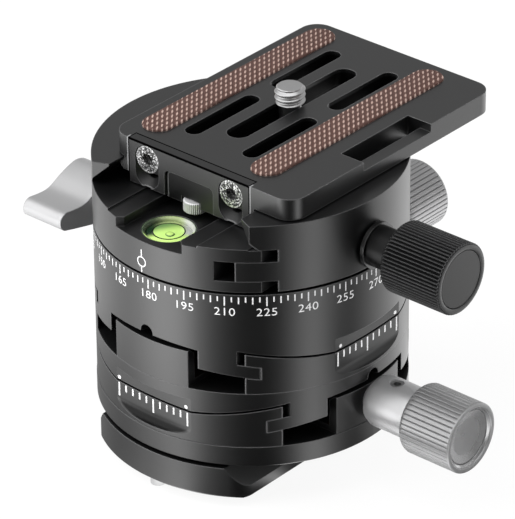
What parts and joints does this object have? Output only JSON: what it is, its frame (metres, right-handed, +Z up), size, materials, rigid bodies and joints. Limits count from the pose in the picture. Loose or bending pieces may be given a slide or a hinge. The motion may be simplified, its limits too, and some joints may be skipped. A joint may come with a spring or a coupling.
{
  "type": "geared levelling head",
  "caption": "Round two-axis geared levelling head with silver tilt knobs, a panning base, a screw-knob dovetail clamp and a slotted quick-release plate on top.",
  "frame": {"origin": "centre of the foot's flat underside, at the mouth of the stud socket", "axes": "+Z up along the panning axis; +X towards the lower tilt knob and the clamp knob; the plate runs along Y, its backstop at -Y"},
  "size_m": [0.1042, 0.0872, 0.0737],
  "materials": {
    "body_black": "satin",
    "silver_anodised": "satin",
    "knob_black": "satin",
    "steel": "satin",
    "bronze": "satin",
    "brown_grip": "matte",
    "level_green": "gloss"
  },
  "bodies": {
    "base": {"foot_plate": "body_black", "foot_screws": "steel", "foot_stop_screw": "steel", "base_disc": "body_black", "lower_rail_near": "body_black", "lower_rail_far": "body_black", "lower_rail_screws": "steel", "lower_worm_bracket": "body_black", "lower_bracket_screws": "steel", "lower_worm_bushes": "bronze"},
    "lower_knob": {"lower_worm_shaft": "steel", "lower_tilt_knob": "silver_anodised", "lower_knob_set_screw": "steel"},
    "lower_cradle": {"lower_cradle": "body_black", "lower_sector": "bronze", "lower_sector_screws": "steel", "upper_rail_right": "body_black", "upper_rail_left": "body_black", "upper_rail_screws": "steel", "upper_worm_bracket": "body_black", "upper_bracket_screws": "steel", "upper_worm_bushes": "bronze"},
    "upper_knob": {"upper_worm_shaft": "steel", "upper_tilt_knob": "silver_anodised", "upper_knob_set_screw": "steel"},
    "upper_cradle": {"scale_ring": "body_black", "upper_sector": "bronze", "upper_sector_screws": "steel", "pan_liner": "bronze", "lock_shoe": "bronze"},
    "pan_lock": {"pan_lock_lever": "silver_anodised", "pan_lock_screw": "steel"},
    "clamp": {"pan_spindle": "steel", "spindle_screws": "steel", "clamp_body": "body_black", "jaw_guide_pins": "steel", "level_ring": "silver_anodised", "level_vial": "level_green"},
    "jaw": {"movable_jaw": "body_black"},
    "clamp_knob": {"clamp_screw": "steel", "clamp_knob": "knob_black", "clamp_knob_ring": "steel", "clamp_knob_cap": "knob_black"},
    "plate": {"quick_release_plate": "body_black", "grip_strips": "brown_grip", "backstop_screws": "steel", "safety_screws": "steel"},
    "backstop_bar": {"backstop": "body_black"},
    "screw_washer": {"camera_screw_washer": "steel"},
    "camera_screw": {"camera_screw": "steel"}
  },
  "joints": [
    {"name": "lower_tilt", "type": "hinge", "parent": "base", "child": "lower_cradle", "pos_m": [0, 0, 0.1265], "axis": [0, 1, 0], "range_deg": [-10, 10]},
    {"name": "lower_knob_turn", "type": "hinge", "parent": "base", "child": "lower_knob", "pos_m": [0.04, 0, 0.01724], "axis": [1, 0, 0], "range_deg": [-2400, 2400]},
    {"name": "upper_tilt", "type": "hinge", "parent": "lower_cradle", "child": "upper_cradle", "pos_m": [0, 0, 0.1389], "axis": [-1, 0, 0], "range_deg": [-10, 10]},
    {"name": "upper_knob_turn", "type": "hinge", "parent": "lower_cradle", "child": "upper_knob", "pos_m": [0, 0.04, 0.02964], "axis": [0, 1, 0], "range_deg": [-2400, 2400]},
    {"name": "pan", "type": "hinge", "parent": "upper_cradle", "child": "clamp", "pos_m": [0, 0, 0.0475], "axis": [0, 0, 1], "continuous": true},
    {"name": "pan_lock_turn", "type": "hinge", "parent": "upper_cradle", "child": "pan_lock", "pos_m": [-0.041, -0.0015, 0.0392], "axis": [-1, 0, 0], "range_deg": [-45, 0]},
    {"name": "jaw_slide", "type": "slide", "parent": "clamp", "child": "jaw", "axis": [1, 0, 0], "range_m": [0, 0.0035]},
    {"name": "clamp_knob_turn", "type": "hinge", "parent": "jaw", "child": "clamp_knob", "pos_m": [0.046, 0, 0.0524], "axis": [1, 0, 0], "range_deg": [0, 1265]},
    {"name": "plate_slide", "type": "slide", "parent": "clamp", "child": "plate", "axis": [0, 1, 0], "range_m": [-0.0245, 0.0007]},
    {"name": "backstop_lift", "type": "slide", "parent": "plate", "child": "backstop_bar", "axis": [0, 0, 1], "range_m": [0, 0.0033]},
    {"name": "camera_screw_slide", "type": "slide", "parent": "plate", "child": "screw_washer", "axis": [0, 1, 0], "range_m": [-0.0155, 0.0168]},
    {"name": "camera_screw_turn", "type": "hinge", "parent": "screw_washer", "child": "camera_screw", "pos_m": [-0.0003, 0.0125, 0.0675], "axis": [0, 0, 1], "continuous": true}
  ],
  "couplings": [
    {"joint": "lower_knob_turn", "follows": "lower_tilt", "ratio": 240},
    {"joint": "upper_knob_turn", "follows": "upper_tilt", "ratio": 240},
    {"joint": "clamp_knob_turn", "follows": "jaw_slide", "rad_per_m": 6283.2}
  ]
}
